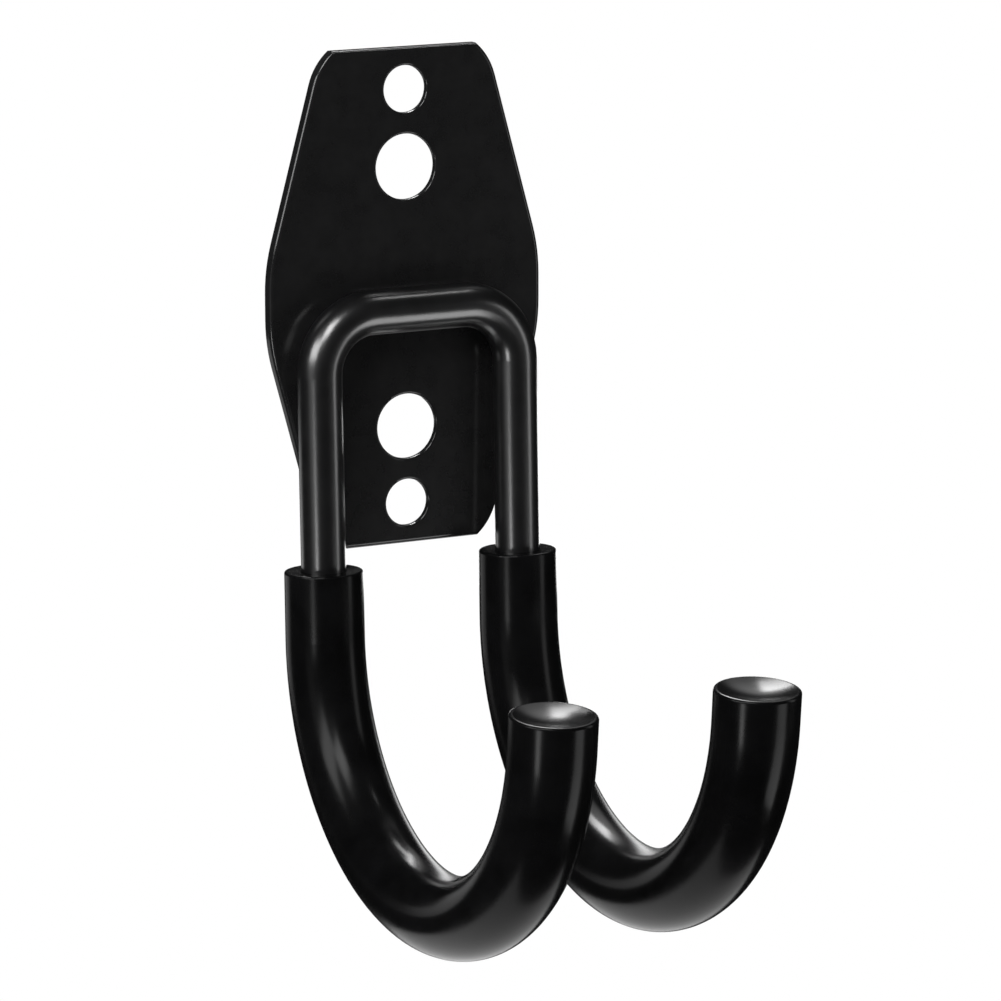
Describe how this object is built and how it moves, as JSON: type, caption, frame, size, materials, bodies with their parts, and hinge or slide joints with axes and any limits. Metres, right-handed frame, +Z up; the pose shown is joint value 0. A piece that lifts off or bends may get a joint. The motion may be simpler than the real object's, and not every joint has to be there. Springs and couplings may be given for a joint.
{
  "type": "garage utility hook",
  "caption": "Double wall hook: a tapered steel plate with screw holes carries a bent round rod whose parallel J arms wear soft closed-end sleeves, for hanging tools, hoses and bikes.",
  "frame": {"origin": "middle of the plate's back face, on the wall", "axes": "+Y into the wall, the arms reach out along -Y, +Z up, +X to the right of someone facing the wall"},
  "size_m": [0.054, 0.0985, 0.1508],
  "materials": {
    "plate_coating": "satin black powder coat",
    "rod_coating": "satin black powder coat",
    "sleeve_skin": "smooth gloss black"
  },
  "bodies": {
    "root": {"back_plate": "plate_coating", "hook_rod": "rod_coating", "left_sleeve": "sleeve_skin", "right_sleeve": "sleeve_skin"}
  },
  "joints": []
}
